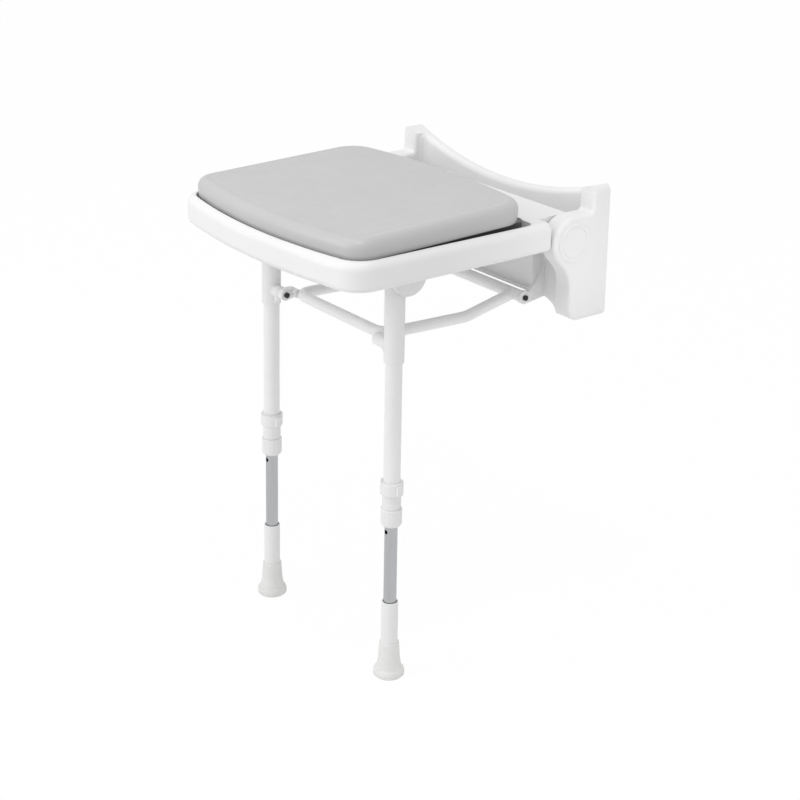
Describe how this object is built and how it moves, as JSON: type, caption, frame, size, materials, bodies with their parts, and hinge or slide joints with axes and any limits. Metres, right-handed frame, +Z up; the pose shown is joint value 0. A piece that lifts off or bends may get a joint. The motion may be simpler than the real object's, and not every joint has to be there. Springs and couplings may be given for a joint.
{
  "type": "fold down wall seat",
  "caption": "Padded seat that folds down from a wall bracket on two height adjustable legs linked by a tubular brace.",
  "frame": {"origin": "wall plane, middle of the wall bracket in width and height", "axes": "+Z up, +X to the right of someone facing the wall from the seat's front, seat stands out towards -Y"},
  "size_m": [0.4028, 0.4259, 0.6345],
  "materials": {
    "white_moulding": "satin white moulded plastic",
    "grey_pad": "smooth skinned polyurethane foam, satin grey",
    "board": "stiff plastic board",
    "nylon": "natural nylon",
    "white_coated_steel": "white powder coat",
    "bare_aluminium": "drawn, satin anodised",
    "steel": "bright zinc plated",
    "dark_screw": "black oxide",
    "white_rubber": "matt white rubber"
  },
  "bodies": {
    "wall_mount": {"wall_bracket": "white_moulding", "hinge_cap_right": "white_moulding", "hinge_cap_left": "white_moulding", "hinge_pin_right": "steel", "hinge_pin_left": "steel", "screw_covers": "white_moulding", "gusset_screws": "dark_screw"},
    "seat": {"seat_frame": "white_moulding", "seat_pad": "grey_pad", "pad_base": "board", "pad_studs": "nylon", "leg_bracket_right": "white_coated_steel", "leg_bracket_left": "white_coated_steel", "bracket_screws": "steel", "leg_pivot_pin_right": "steel", "leg_pivot_pin_left": "steel", "hinge_bush_right": "nylon", "hinge_bush_left": "nylon"},
    "brace": {"brace_front_tube": "white_coated_steel", "brace_rear_tube": "white_coated_steel", "brace_strut_right": "white_coated_steel", "brace_strut_left": "white_coated_steel", "brace_lug_right": "white_coated_steel", "brace_lug_left": "white_coated_steel", "brace_bush_right": "nylon", "brace_bush_left": "nylon"},
    "leg_right": {"leg_head_right": "white_moulding", "leg_tube_right": "white_coated_steel", "gland_body_right": "white_moulding", "gland_collet_right": "white_moulding", "link_screw_right": "dark_screw"},
    "nut_right": {"gland_nut_right": "white_moulding"},
    "foot_right": {"foot_tube_right": "bare_aluminium", "foot_sleeve_right": "white_moulding", "foot_ferrule_right": "white_rubber", "foot_tube_plug_right": "nylon"},
    "leg_left": {"leg_head_left": "white_moulding", "leg_tube_left": "white_coated_steel", "gland_body_left": "white_moulding", "gland_collet_left": "white_moulding", "link_screw_left": "dark_screw"},
    "nut_left": {"gland_nut_left": "white_moulding"},
    "foot_left": {"foot_tube_left": "bare_aluminium", "foot_sleeve_left": "white_moulding", "foot_ferrule_left": "white_rubber", "foot_tube_plug_left": "nylon"}
  },
  "joints": [
    {"name": "seat_fold", "type": "hinge", "parent": "wall_mount", "child": "seat", "pos_m": [0, -0.06, 0.021], "axis": [-1, 0, 0], "range_deg": [0, 83]},
    {"name": "brace_swing", "type": "hinge", "parent": "wall_mount", "child": "brace", "pos_m": [0, -0.0685, -0.075], "axis": [-1, 0, 0], "range_deg": [0, 83]},
    {"name": "leg_right_swing", "type": "hinge", "parent": "seat", "child": "leg_right", "pos_m": [0.137, -0.292, 0.008], "axis": [-1, 0, 0], "range_deg": [-83, 0]},
    {"name": "nut_right_turn", "type": "hinge", "parent": "leg_right", "child": "nut_right", "pos_m": [0.137, -0.3005, -0.3195], "axis": [0, 0, 1], "range_deg": [0, 300]},
    {"name": "foot_right_height", "type": "slide", "parent": "leg_right", "child": "foot_right", "axis": [0, 0, 1], "range_m": [-0.1, 0.025]},
    {"name": "leg_left_swing", "type": "hinge", "parent": "seat", "child": "leg_left", "pos_m": [-0.137, -0.292, 0.008], "axis": [-1, 0, 0], "range_deg": [-83, 0]},
    {"name": "nut_left_turn", "type": "hinge", "parent": "leg_left", "child": "nut_left", "pos_m": [-0.137, -0.3005, -0.3195], "axis": [0, 0, 1], "range_deg": [0, 300]},
    {"name": "foot_left_height", "type": "slide", "parent": "leg_left", "child": "foot_left", "axis": [0, 0, 1], "range_m": [-0.1, 0.025]}
  ],
  "couplings": [
    {"joint": "brace_swing", "follows": "seat_fold", "ratio": 1},
    {"joint": "leg_right_swing", "follows": "seat_fold", "ratio": -1},
    {"joint": "leg_left_swing", "follows": "seat_fold", "ratio": -1}
  ]
}
